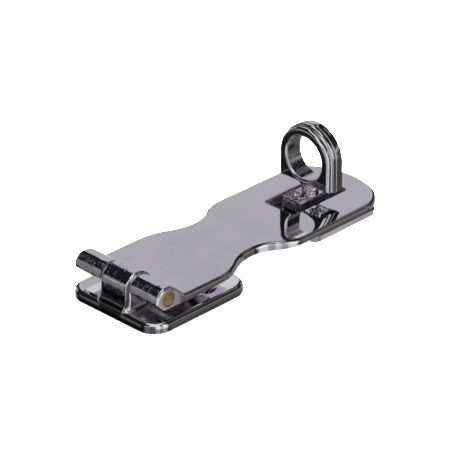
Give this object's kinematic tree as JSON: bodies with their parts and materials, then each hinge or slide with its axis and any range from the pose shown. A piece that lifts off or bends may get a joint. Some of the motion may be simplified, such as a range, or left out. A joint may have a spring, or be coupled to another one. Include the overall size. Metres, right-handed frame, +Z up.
{
  "type": "swivel eye hasp",
  "caption": "Chrome hasp: a waisted slotted strap on a pinned knuckle hinge, held down by a turning arched eye on its own small plate.",
  "frame": {"origin": "hinge base's underside, straight below the middle of the hinge pin", "axes": "+X from the hinge towards the round end, +Z up out of the mounting surface"},
  "size_m": [0.076, 0.0274, 0.024],
  "materials": {
    "chrome_plate": "polished chrome plate on a zinc casting",
    "pin_brass": "plain brass, dulled at its cut end",
    "spring_steel": "plain spring steel"
  },
  "bodies": {
    "base": {"hinge_base": "chrome_plate", "hinge_pin": "pin_brass"},
    "strap": {"hasp_strap": "chrome_plate", "eye_plate": "chrome_plate", "disc_spring": "spring_steel"},
    "eye": {"swivel_eye": "chrome_plate"}
  },
  "joints": [
    {"name": "strap_hinge", "type": "hinge", "parent": "base", "child": "strap", "pos_m": [0, 0, 0.0073], "axis": [0, -1, 0], "range_deg": [-3, 165]},
    {"name": "eye_swivel", "type": "hinge", "parent": "strap", "child": "eye", "pos_m": [0.057, 0, 0.01], "axis": [0, 0, 1], "continuous": true}
  ]
}
